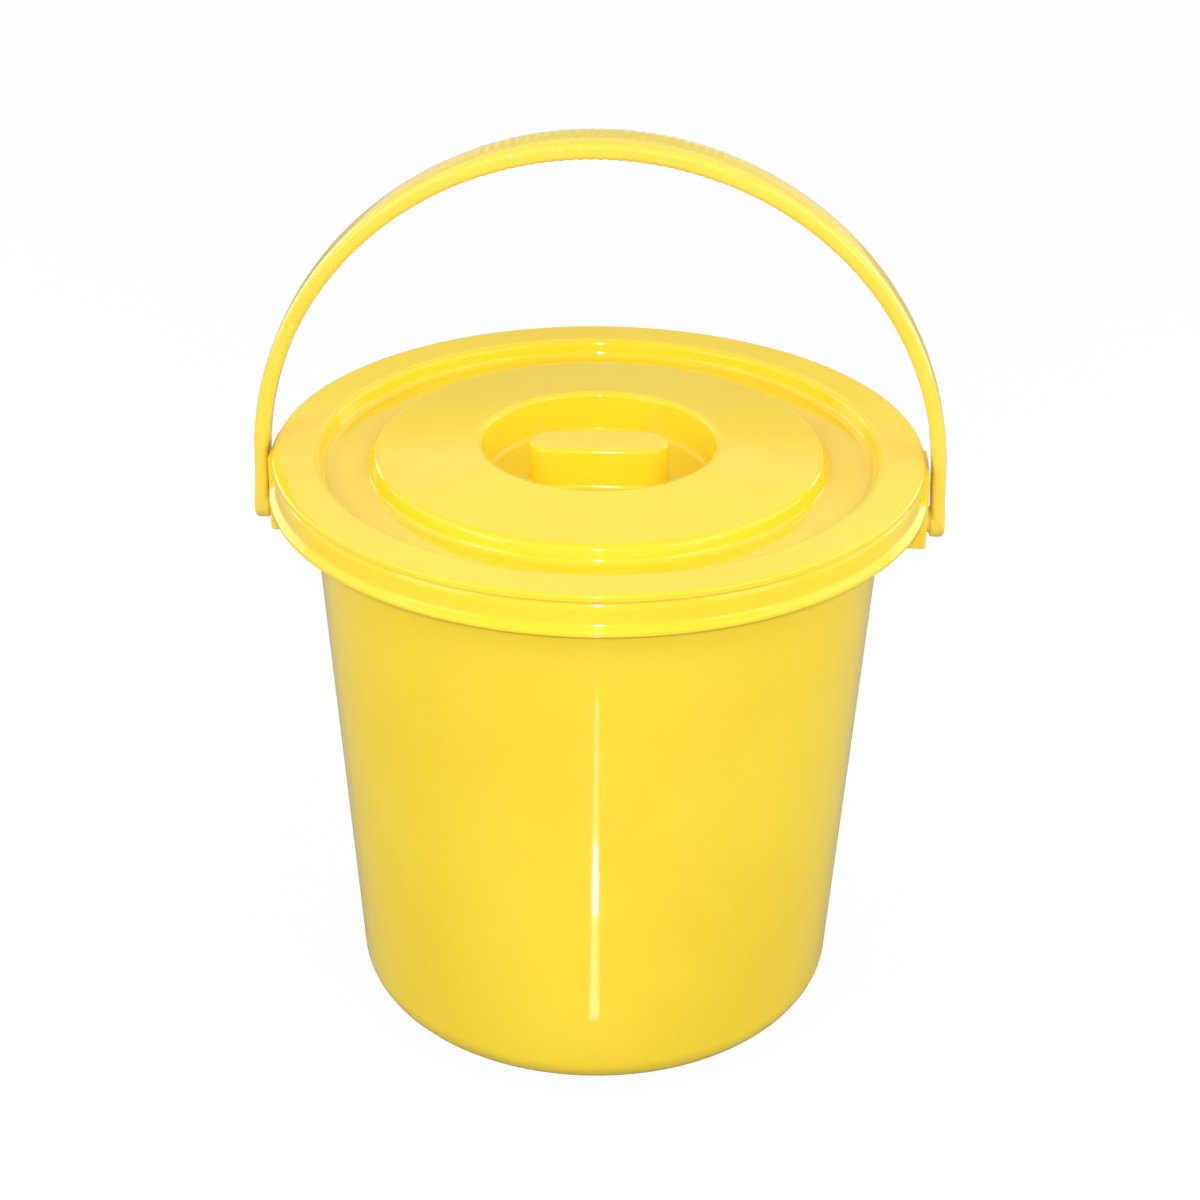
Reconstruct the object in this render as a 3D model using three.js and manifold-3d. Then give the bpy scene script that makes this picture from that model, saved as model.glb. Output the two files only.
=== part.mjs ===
// A ten litre household bucket with a loose lid and a swinging bail handle.
// Three mouldings in yellow polypropylene: the bucket with its rim and ears,
// the lid with its finger well and grip bar, and the ribbed bail.
// Millimetres, +Z up. The origin is the middle of the base, on the ground.

import * as THREE from 'three';
import { mergeVertices } from 'three/addons/utils/BufferGeometryUtils.js';
import Module from 'manifold-3d';

// Bucket body
const WALL = 2.0;
const FLOOR = 2.4;
const BASE_RADIUS = 107.7;      // where the wall line would meet the ground
const BASE_ROUND = 21.5;        // round between wall and base, outside
const BODY_HEIGHT = 259.6;      // top of the rim
const MOUTH_RADIUS = 122.8;     // inside of the wall at the rim
const MOUTH_ROUND = 2.4;
const STAND_RING_INNER = 79;    // inside of the ring that the bucket stands on
const BASE_RECESS = 3.0;        // how far the base is pushed up inside the ring
const BASE_STEP = 3.0;          // width of the slope into that recess

// Turned-down rim
const RIM_RADIUS = 138.9;
const RIM_ROUND = 5.5;
const RIM_THICKNESS = 2.3;
const SKIRT_DRAFT = 0.4;        // how much wider the skirt is at its foot
const LIP_RADIUS = 141.9;
const LIP_HEIGHT = 1.9;
const SKIRT_DEPTH = 15.2;       // from the rim's top to the lip's foot
const LIP_FLARE_HEIGHT = 2.3;

// Ears under the rim, at both ends of the X axis
const EAR_FACE = 141.8;         // distance of the ear's outer face from the axis
const EAR_WIDTH = 29;
const EAR_PLATE = 3.7;
const EAR_SIDE_WALL = 2.4;
const EAR_CORNER = 1.6;
const EAR_FOOT = 8.6;           // material below the pivot
const EAR_BELOW_RIM = 1.8;      // from the rim's top to the ear's top
const EYE_RADIUS = 4.7;

// Lid
const LID_WALL = 1.8;
const LID_OVERHANG = 1.0;       // how far the lid's edge stands out beyond the rim
const LID_EDGE_DROP = 0.8;      // how far the edge hangs below the band's underside
const LID_EDGE_ROUND = 1.2;
const LID_SEAT_GAP = 0.3;       // between the rim's top and the lid's underside
const BAND_INNER_RADIUS = 120.6;
const BAND_RISE = 0.2;          // how much higher the band is at its inner edge
const BAND_ROUND = 2.5;
const TROUGH_OUTER_RADIUS = 119.0;
const TROUGH_INNER_RADIUS = 98.6;
const TROUGH_DEPTH = 7.6;       // below the band
const TROUGH_ROUND = 3.2;
const PLATEAU_RADIUS = 96.5;
const PLATEAU_DROP = 0.4;       // plateau's edge below the band
const PLATEAU_ROUND = 3.0;
const WELL_RADIUS = 50.6;
const WELL_CROWN = 3.3;         // well's edge above the band
const WELL_EDGE_ROUND = 2.2;
const WELL_DEPTH = 18.5;
const WELL_DRAFT = 1.4;
const WELL_FLOOR_ROUND = 3.0;
const LID_TURN_DEG = 2.4;         // the loose lid lies turned by this much

// Grip bar in the lid's well
const BAR_LENGTH = 60;
const BAR_WIDTH = 21.5;
const BAR_BELOW_CROWN = 0.6;
const BAR_ROUND = 1.8;
const BAR_WALL = 2.0;

// Bail handle
const PIVOT_BELOW_RIM = 28.2;
const BAIL_RADIUS = 146.2;      // to the middle of the strip
const BAIL_CENTRE_BELOW_RIM = 9.8;
const LEG_THICKNESS = 6.8;
const LEG_WIDTH = 15;
const GRIP_THICKNESS = 8.3;
const GRIP_WIDTH = 22;
const STRIP_ROUND = 3.5;
const FOOT_ROUND = 1.8;         // edge of the leg's round foot
const LEG_SPLAY = 0.5;          // how far out each leg's foot stands
const RIB_COUNT = 25;
const RIB_PITCH = 4.1;
const RIB_HEIGHT = 0.25;
const PEG_RADIUS = 4.3;
const PEG_HEAD_RADIUS = 5.6;
const PEG_HEAD_LENGTH = 2.6;
const PEG_SHOULDER_RADIUS = 5.6;
const PEG_GAP = 0.35;           // end play between bail and ear

// Roundness
const LATHE_SEGMENTS = 48;
const FILLET_STEPS = 2;
const FILLET_CHORD = 4;         // a large round gets one step for each such length of radius
const PEG_SEGMENTS = 20;
const ARCH_STEPS = 20;
const LEG_STEPS = 3;
const RIB_STEPS = 4;
const STRIP_CORNER_STEPS = 3;

const YELLOW = '#ffdb21';

const wasm = await Module();
wasm.setup();
const { Manifold, Mesh: ManifoldMesh } = wasm;

// A closed three.js geometry becomes a solid that can be joined and cut.
function toSolid(geometry) {
  const bare = geometry.clone();
  bare.deleteAttribute('normal');
  bare.deleteAttribute('uv');
  const merged = mergeVertices(bare, 1e-4);
  return new Manifold(new ManifoldMesh({
    numProp: 3,
    vertProperties: new Float32Array(merged.attributes.position.array),
    triVerts: new Uint32Array(merged.index.array),
  }));
}

function toGeometry(solid) {
  const mesh = solid.getMesh();
  const geometry = new THREE.BufferGeometry();
  geometry.setAttribute('position', new THREE.BufferAttribute(mesh.vertProperties, 3));
  geometry.setIndex(new THREE.BufferAttribute(mesh.triVerts, 1));
  geometry.computeVertexNormals();
  return geometry;
}

function corner(r, z, round = 0) {
  return { r, z, round };
}

// Rounds every corner of an open outline with an arc of its own radius.
function roundedOutline(corners) {
  const points = [];
  corners.forEach((here, i) => {
    const at = new THREE.Vector2(here.r, here.z);
    const before = corners[i - 1];
    const after = corners[i + 1];
    if (!here.round || !before || !after) {
      points.push(at);
      return;
    }
    const back = new THREE.Vector2(before.r, before.z).sub(at);
    const ahead = new THREE.Vector2(after.r, after.z).sub(at);
    const halfAngle = Math.abs(back.angleTo(ahead)) / 2;
    const wanted = here.round / Math.tan(halfAngle);
    const room = 0.48 * Math.min(back.length(), ahead.length());
    const reach = Math.min(wanted, room);
    const radius = reach * Math.tan(halfAngle);
    const toCentre = back.clone().normalize().add(ahead.clone().normalize()).normalize();
    const centre = at.clone().addScaledVector(toCentre, radius / Math.sin(halfAngle));
    const start = at.clone().addScaledVector(back.clone().normalize(), reach).sub(centre);
    const end = at.clone().addScaledVector(ahead.clone().normalize(), reach).sub(centre);
    let sweep = end.angle() - start.angle();
    if (sweep > Math.PI) sweep -= 2 * Math.PI;
    if (sweep < -Math.PI) sweep += 2 * Math.PI;
    const steps = Math.max(FILLET_STEPS, Math.round(radius / FILLET_CHORD));
    for (let step = 0; step <= steps; step += 1) {
      const turned = start.clone().rotateAround(new THREE.Vector2(), sweep * step / steps);
      points.push(turned.add(centre));
    }
  });
  return points;
}

// Moves an open outline sideways by a wall thickness, to the right of its run.
function offsetCorners(corners, distance) {
  const normals = corners.slice(1).map((next, i) => {
    const along = new THREE.Vector2(next.r - corners[i].r, next.z - corners[i].z).normalize();
    return new THREE.Vector2(along.y, -along.x);
  });
  return corners.map((here, i) => {
    const first = normals[Math.max(i - 1, 0)];
    const second = normals[Math.min(i, normals.length - 1)];
    const mitre = first.clone().add(second).normalize();
    mitre.multiplyScalar(distance / mitre.dot(first));
    const turn = first.x * second.y - first.y * second.x;
    const round = here.round ? Math.max(here.round + Math.sign(turn) * distance, 0.4) : 0;
    return corner(here.r + mitre.x, here.z + mitre.y, round);
  });
}

// Revolves a closed outline around Z.
function revolve(outline, segments = LATHE_SEGMENTS) {
  const closed = [...outline, outline[0]];
  const lathe = new THREE.LatheGeometry(closed, segments);
  lathe.rotateX(Math.PI / 2);
  let solid = toSolid(lathe);
  if (solid.volume() < 0) {
    const flipped = new THREE.LatheGeometry([...closed].reverse(), segments);
    flipped.rotateX(Math.PI / 2);
    solid = toSolid(flipped);
  }
  return solid;
}

// Closes a stack of rings, each a list of Vector3, into one geometry.
function loft(rings) {
  const size = rings[0].length;
  const positions = rings.flat().flatMap((p) => [p.x, p.y, p.z]);
  const index = [];
  for (let k = 0; k < rings.length - 1; k += 1) {
    for (let i = 0; i < size; i += 1) {
      const a = k * size + i;
      const b = k * size + (i + 1) % size;
      index.push(a, a + size, b, b, a + size, b + size);
    }
  }
  const last = (rings.length - 1) * size;
  for (let i = 1; i < size - 1; i += 1) {
    index.push(0, i, i + 1);
    index.push(last, last + i + 1, last + i);
  }
  const geometry = new THREE.BufferGeometry();
  geometry.setAttribute('position', new THREE.Float32BufferAttribute(positions, 3));
  geometry.setIndex(index);
  return geometry;
}

// A rectangle with two rounded corners on its far side, drawn in plan.
function earPlan(near, far, halfWidth, round) {
  const plan = new THREE.Shape();
  plan.moveTo(near, -halfWidth);
  plan.lineTo(far - round, -halfWidth);
  plan.absarc(far - round, -halfWidth + round, round, -Math.PI / 2, 0, false);
  plan.lineTo(far, halfWidth - round);
  plan.absarc(far - round, halfWidth - round, round, 0, Math.PI / 2, false);
  plan.lineTo(near, halfWidth);
  plan.closePath();
  return plan;
}

function prism(plan, bottom, top) {
  const geometry = new THREE.ExtrudeGeometry(plan, {
    depth: top - bottom, bevelEnabled: false, curveSegments: FILLET_STEPS,
  });
  geometry.translate(0, 0, bottom);
  return toSolid(geometry);
}

// Outer radius of the plain wall at a height.
function wallRadius(z) {
  const top = MOUTH_RADIUS + WALL;
  return BASE_RADIUS + (top - BASE_RADIUS) * z / BODY_HEIGHT;
}

const PIVOT_Z = BODY_HEIGHT - PIVOT_BELOW_RIM;
const SKIRT_FOOT = BODY_HEIGHT - SKIRT_DEPTH;
const FLARE_TOP = SKIRT_FOOT + LIP_HEIGHT + LIP_FLARE_HEIGHT;

// Body, rim and lip as one outline, from the middle of the base outwards.
function bucketOutline() {
  const flangeUnder = BODY_HEIGHT - RIM_THICKNESS;
  const skirtFootRadius = RIM_RADIUS + SKIRT_DRAFT;
  const floorTop = BASE_RECESS + FLOOR;
  const outside = [
    corner(0, BASE_RECESS),
    corner(STAND_RING_INNER - BASE_STEP, BASE_RECESS, 2),
    corner(STAND_RING_INNER, 0, 0.8),
    corner(BASE_RADIUS, 0, BASE_ROUND),
    corner(wallRadius(flangeUnder), flangeUnder, 1.5),
    corner(RIM_RADIUS - RIM_THICKNESS, flangeUnder, RIM_ROUND - RIM_THICKNESS),
    corner(skirtFootRadius - RIM_THICKNESS, FLARE_TOP, 2),
    corner(LIP_RADIUS - RIM_THICKNESS, SKIRT_FOOT, 0.5),
    corner(LIP_RADIUS, SKIRT_FOOT, 0.8),
    corner(LIP_RADIUS, SKIRT_FOOT + LIP_HEIGHT, 0.9),
    corner(skirtFootRadius, FLARE_TOP, 2),
    corner(RIM_RADIUS, BODY_HEIGHT, RIM_ROUND),
  ];
  const inside = [
    corner(MOUTH_RADIUS, BODY_HEIGHT, MOUTH_ROUND),
    corner(wallRadius(FLOOR) - WALL, FLOOR, BASE_ROUND - WALL),
    corner(STAND_RING_INNER + FLOOR / 2, FLOOR, 0.8),
    corner(STAND_RING_INNER - BASE_STEP + FLOOR / 2, floorTop, 2),
    corner(0, floorTop),
  ];
  return roundedOutline([...outside, ...inside]);
}

// One ear: a plate with side walls, open below, that carries the bail's peg.
function ear() {
  const foot = PIVOT_Z - EAR_FOOT;
  const halfWidth = EAR_WIDTH / 2;
  const near = wallRadius(foot) - 3 * WALL;
  const top = BODY_HEIGHT - EAR_BELOW_RIM;
  const block = prism(earPlan(near, EAR_FACE, halfWidth, EAR_CORNER), foot, top);
  const pocketHalf = halfWidth - EAR_SIDE_WALL;
  const pocketCorner = Math.max(EAR_CORNER - EAR_SIDE_WALL, 0.5);
  const pocketPlan = earPlan(0, EAR_FACE - EAR_PLATE, pocketHalf, pocketCorner);
  const pocket = prism(pocketPlan, foot - 1, BODY_HEIGHT - RIM_ROUND);
  const channelPlan = earPlan(0, RIM_RADIUS - RIM_ROUND, pocketHalf, pocketCorner);
  const channel = prism(channelPlan, foot - 1, BODY_HEIGHT - RIM_THICKNESS);
  const eye = new THREE.CylinderGeometry(EYE_RADIUS, EYE_RADIUS, 6 * EAR_PLATE, PEG_SEGMENTS);
  eye.rotateZ(Math.PI / 2);
  eye.translate(EAR_FACE - EAR_PLATE / 2, 0, PIVOT_Z);
  return block.subtract(pocket).subtract(channel).subtract(toSolid(eye));
}

// Everything inside the middle of the wall, to keep the ears out of the mouth.
function bodyCore() {
  const bottom = PIVOT_Z - 2 * EAR_WIDTH;
  const top = BODY_HEIGHT - RIM_THICKNESS / 2;
  return revolve([
    new THREE.Vector2(0, bottom),
    new THREE.Vector2(wallRadius(bottom) - WALL / 2, bottom),
    new THREE.Vector2(wallRadius(top) - WALL / 2, top),
    new THREE.Vector2(0, top),
  ]);
}

function makeBucket() {
  const core = bodyCore();
  const right = ear().subtract(core);
  const left = right.rotate([0, 0, 180]);
  return revolve(bucketOutline()).add(right).add(left);
}

const LID_EDGE_RADIUS = RIM_RADIUS + LID_OVERHANG;
const LID_UNDERSIDE = BODY_HEIGHT + LID_SEAT_GAP;
const LID_BAND_TOP = LID_UNDERSIDE + LID_WALL;
const WELL_EDGE_Z = LID_BAND_TOP + WELL_CROWN;
const WELL_FLOOR_Z = WELL_EDGE_Z - WELL_DEPTH;
const BAR_TOP_Z = WELL_EDGE_Z - BAR_BELOW_CROWN;

// The lid's upper face, from its edge to the middle of the well.
function lidTopCorners() {
  const troughZ = LID_BAND_TOP - TROUGH_DEPTH;
  return [
    corner(LID_EDGE_RADIUS, LID_UNDERSIDE - LID_EDGE_DROP),
    corner(LID_EDGE_RADIUS, LID_BAND_TOP, LID_EDGE_ROUND),
    corner(BAND_INNER_RADIUS, LID_BAND_TOP + BAND_RISE, BAND_ROUND),
    corner(TROUGH_OUTER_RADIUS, troughZ, TROUGH_ROUND),
    corner(TROUGH_INNER_RADIUS, troughZ, TROUGH_ROUND),
    corner(PLATEAU_RADIUS, LID_BAND_TOP - PLATEAU_DROP, PLATEAU_ROUND),
    corner(WELL_RADIUS, WELL_EDGE_Z, WELL_EDGE_ROUND),
    corner(WELL_RADIUS - WELL_DRAFT, WELL_FLOOR_Z, WELL_FLOOR_ROUND),
    corner(0, WELL_FLOOR_Z),
  ];
}

// A bar with round ends and a rounded top edge, standing on a level.
function barBlock(length, width, bottom, top, round) {
  const radius = width / 2 - round;
  const half = (length - width) / 2;
  const plan = new THREE.Shape();
  plan.moveTo(-half, -radius);
  plan.lineTo(half, -radius);
  plan.absarc(half, 0, radius, -Math.PI / 2, Math.PI / 2, false);
  plan.lineTo(-half, radius);
  plan.absarc(-half, 0, radius, Math.PI / 2, 3 * Math.PI / 2, false);
  const geometry = new THREE.ExtrudeGeometry(plan, {
    depth: top - bottom - 2 * round,
    bevelThickness: round,
    bevelSize: round,
    bevelSegments: FILLET_STEPS,
    curveSegments: 4 * FILLET_STEPS,
  });
  geometry.translate(0, 0, bottom + round);
  return toSolid(geometry);
}

function makeLid() {
  const top = lidTopCorners();
  const under = offsetCorners(top, -LID_WALL);
  under[under.length - 1].r = 0;
  const shell = revolve(roundedOutline([...under.reverse(), ...top]));
  const sunk = WELL_FLOOR_Z - LID_WALL - 2 * BAR_ROUND;
  const bar = barBlock(BAR_LENGTH, BAR_WIDTH, sunk, BAR_TOP_Z, BAR_ROUND);
  const hollow = barBlock(
    BAR_LENGTH - 2 * BAR_WALL, BAR_WIDTH - 2 * BAR_WALL,
    sunk - 2 * BAR_WALL, BAR_TOP_Z - BAR_WALL, BAR_ROUND / 2,
  );
  const below = new THREE.BoxGeometry(2 * BAR_LENGTH, 2 * BAR_LENGTH, 6 * BAR_ROUND);
  below.translate(0, 0, WELL_FLOOR_Z - LID_WALL / 2 - 3 * BAR_ROUND);
  return shell.add(bar.subtract(toSolid(below))).subtract(hollow);
}

// The strip's rounded section, across Y and through its thickness.
function stripSection(thickness, width, swell) {
  const round = Math.min(STRIP_ROUND, 0.45 * thickness);
  const points = [];
  const corners = [[1, 1], [-1, 1], [-1, -1], [1, -1]];
  corners.forEach(([sideY, sideT], quarter) => {
    for (let step = 0; step <= STRIP_CORNER_STEPS; step += 1) {
      const angle = (quarter + step / STRIP_CORNER_STEPS) * Math.PI / 2;
      points.push(new THREE.Vector2(
        sideY * (width / 2 - round) + (round + swell) * Math.cos(angle),
        sideT * (thickness / 2 - round) + (round + swell) * Math.sin(angle),
      ));
    }
  });
  return points;
}

// Places along the bail's middle line, from the right leg over to the left one.
function bailStations() {
  const centreZ = BODY_HEIGHT - BAIL_CENTRE_BELOW_RIM;
  const stations = [];
  const legFoot = PIVOT_Z;
  for (let step = 0; step < LEG_STEPS; step += 1) {
    const up = step / LEG_STEPS;
    const z = legFoot + (centreZ - legFoot) * up;
    stations.push({ x: BAIL_RADIUS + LEG_SPLAY * (1 - up), z, tilt: 0, climb: 0, swell: 0 });
  }
  const gripHalfAngle = RIB_COUNT * RIB_PITCH / 2 / BAIL_RADIUS;
  const angles = [];
  const gripStart = Math.PI / 2 - gripHalfAngle;
  for (let step = 0; step < ARCH_STEPS; step += 1) {
    angles.push({ angle: gripStart * step / ARCH_STEPS, swell: 0 });
  }
  for (let step = 0; step <= RIB_COUNT * RIB_STEPS; step += 1) {
    const phase = step / RIB_STEPS;
    const swell = RIB_HEIGHT * (1 - Math.cos(2 * Math.PI * phase)) / 2;
    angles.push({ angle: gripStart + phase * RIB_PITCH / BAIL_RADIUS, swell });
  }
  for (let step = ARCH_STEPS - 1; step >= 0; step -= 1) {
    angles.push({ angle: Math.PI - gripStart * step / ARCH_STEPS, swell: 0 });
  }
  angles.forEach(({ angle, swell }) => stations.push({
    x: BAIL_RADIUS * Math.cos(angle),
    z: centreZ + BAIL_RADIUS * Math.sin(angle),
    tilt: angle,
    climb: Math.sin(angle),
    swell,
  }));
  for (let step = LEG_STEPS - 1; step >= 0; step -= 1) {
    const up = step / LEG_STEPS;
    const z = legFoot + (centreZ - legFoot) * up;
    const x = -BAIL_RADIUS - LEG_SPLAY * (1 - up);
    stations.push({ x, z, tilt: Math.PI, climb: 0, swell: 0 });
  }
  return stations;
}

function bailStrip() {
  const rings = bailStations().map(({ x, z, tilt, climb, swell }) => {
    const thickness = LEG_THICKNESS + (GRIP_THICKNESS - LEG_THICKNESS) * climb;
    const width = LEG_WIDTH + (GRIP_WIDTH - LEG_WIDTH) * climb;
    const out = new THREE.Vector3(Math.cos(tilt), 0, Math.sin(tilt));
    return stripSection(thickness, width, swell).map(({ x: across, y: through }) => (
      new THREE.Vector3(x, across, z).addScaledVector(out, through)
    ));
  });
  return toSolid(loft(rings));
}

// Rounded foot of one leg with its shoulder, peg and snap head, turned about X.
function legFoot() {
  const outer = BAIL_RADIUS + LEG_SPLAY + LEG_THICKNESS / 2;
  const inner = outer - LEG_THICKNESS;
  const shoulder = EAR_FACE + PEG_GAP;
  const head = EAR_FACE - EAR_PLATE - PEG_GAP;
  const foot = LEG_WIDTH / 2;
  const outline = roundedOutline([
    corner(0, outer),
    corner(foot, outer, FOOT_ROUND),
    corner(foot, inner, FOOT_ROUND),
    corner(PEG_SHOULDER_RADIUS, inner),
    corner(PEG_SHOULDER_RADIUS, shoulder),
    corner(PEG_RADIUS, shoulder),
    corner(PEG_RADIUS, head),
    corner(PEG_HEAD_RADIUS, head),
    corner(PEG_RADIUS, head - PEG_HEAD_LENGTH),
    corner(0, head - PEG_HEAD_LENGTH),
  ]);
  return revolve(outline, PEG_SEGMENTS).rotate([0, 90, 0]).translate([0, 0, PIVOT_Z]);
}

function makeBail() {
  const right = legFoot();
  const left = right.rotate([0, 0, 180]);
  return bailStrip().add(right).add(left);
}

function mouldedPiece(name, solid) {
  const material = new THREE.MeshStandardMaterial({ color: YELLOW, roughness: 0.28, metalness: 0 });
  const mesh = new THREE.Mesh(toGeometry(solid), material);
  mesh.name = name;
  return mesh;
}

const bucketWithLid = new THREE.Group();
const lid = mouldedPiece('lid', makeLid());
lid.rotation.z = THREE.MathUtils.degToRad(LID_TURN_DEG);
bucketWithLid.add(mouldedPiece('bucket', makeBucket()));
bucketWithLid.add(lid);
bucketWithLid.add(mouldedPiece('bail_handle', makeBail()));

export default bucketWithLid;
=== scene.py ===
"""A ten litre yellow bucket with a loose lid and a swinging bail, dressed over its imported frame.

Sizes are in millimetres with +Z up and the origin in the middle of the base, on the ground.
Blender gets metres, in the same frame as the solids.
"""

import logging
import math
from collections.abc import Iterable
from dataclasses import dataclass, field
from enum import Enum

import bmesh
import bpy
from mathutils import Matrix, Vector

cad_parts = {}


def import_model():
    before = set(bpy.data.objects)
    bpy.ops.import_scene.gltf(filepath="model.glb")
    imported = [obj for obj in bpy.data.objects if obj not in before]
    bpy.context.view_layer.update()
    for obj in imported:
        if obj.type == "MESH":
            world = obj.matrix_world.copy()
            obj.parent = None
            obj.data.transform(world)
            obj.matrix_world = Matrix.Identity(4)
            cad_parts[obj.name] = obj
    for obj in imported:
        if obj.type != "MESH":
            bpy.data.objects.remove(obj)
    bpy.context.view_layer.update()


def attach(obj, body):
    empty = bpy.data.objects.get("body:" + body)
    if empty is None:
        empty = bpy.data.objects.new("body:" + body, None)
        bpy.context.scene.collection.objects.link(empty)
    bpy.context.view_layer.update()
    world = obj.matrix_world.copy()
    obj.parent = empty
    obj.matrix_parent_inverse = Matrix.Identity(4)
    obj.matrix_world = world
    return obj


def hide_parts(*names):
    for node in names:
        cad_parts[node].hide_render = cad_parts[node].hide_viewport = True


LOG = logging.getLogger("bucket")
MM = 0.001

# Mesh points closer than this are one point.
MERGE_DISTANCE = 1e-4
# Edges shorter than this are taken out.
SHORTEST_EDGE = 1e-5
# How far from its end a long straight run gets a supporting point.
SUPPORT = 0.8
# The largest share of a straight run that the round at its end may take.
ROUND_SHARE = 0.48
# The smallest round that an offset outline keeps.
SMALLEST_ROUND = 0.4
FEWEST_ARC_STEPS = 3
# Two runs that turn less than this are one straight run.
NO_TURN = 1e-9

# Sockets of a node that mixes colours, by number, because several of them share a name.
MIX_SHARE = 0
MIX_FIRST = 6
MIX_SECOND = 7
MIX_RESULT = 2


class Body(Enum):
    """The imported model's bodies."""

    BUCKET = "bucket_body"
    BAIL = "bail"


class Slot(Enum):
    """The record's material slots."""

    YELLOW = "yellow_polypropylene"


# Colour and shader nodes


def linear(hex_colour: str) -> tuple[float, float, float, float]:
    """Turns an sRGB hex colour into the linear colour that Blender's sockets take.

    Args:
        hex_colour: a colour such as "#ffd820".

    Returns:
        Red, green, blue and an alpha of 1.
    """
    channels = [int(hex_colour[i : i + 2], 16) / 255 for i in (1, 3, 5)]
    decoded = [c / 12.92 if c <= 0.04045 else ((c + 0.055) / 1.055) ** 2.4 for c in channels]
    return (*decoded, 1.0)


def per_mm(size: float) -> float:
    """Scale of a texture whose pattern repeats about every size millimetres."""
    return 1.0 / (size * MM)


def add_node(
    tree: bpy.types.NodeTree,
    kind: str,
    values: dict[str | int, object] | None = None,
    links: dict[str | int, bpy.types.NodeSocket] | None = None,
    **settings: object,
) -> bpy.types.Node:
    """Adds a shader node with its settings, constants and links.

    Args:
        tree: the node tree that gets the node.
        kind: the node's type, such as "ShaderNodeBump".
        values: constants by input name or number.
        links: output sockets by input name or number.
        **settings: attributes of the node itself.

    Returns:
        The new node.
    """
    node = tree.nodes.new(kind)
    for name, value in settings.items():
        setattr(node, name, value)
    for name, value in (values or {}).items():
        node.inputs[name].default_value = value
    for name, socket in (links or {}).items():
        tree.links.new(socket, node.inputs[name])
    return node


def new_material(name: str) -> tuple[bpy.types.Material, bpy.types.NodeTree]:
    """Makes an empty node material.

    Args:
        name: the material's name.

    Returns:
        The material and its emptied node tree.
    """
    material = bpy.data.materials.new(name)
    material.use_nodes = True
    material.node_tree.nodes.clear()
    return material, material.node_tree


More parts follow.
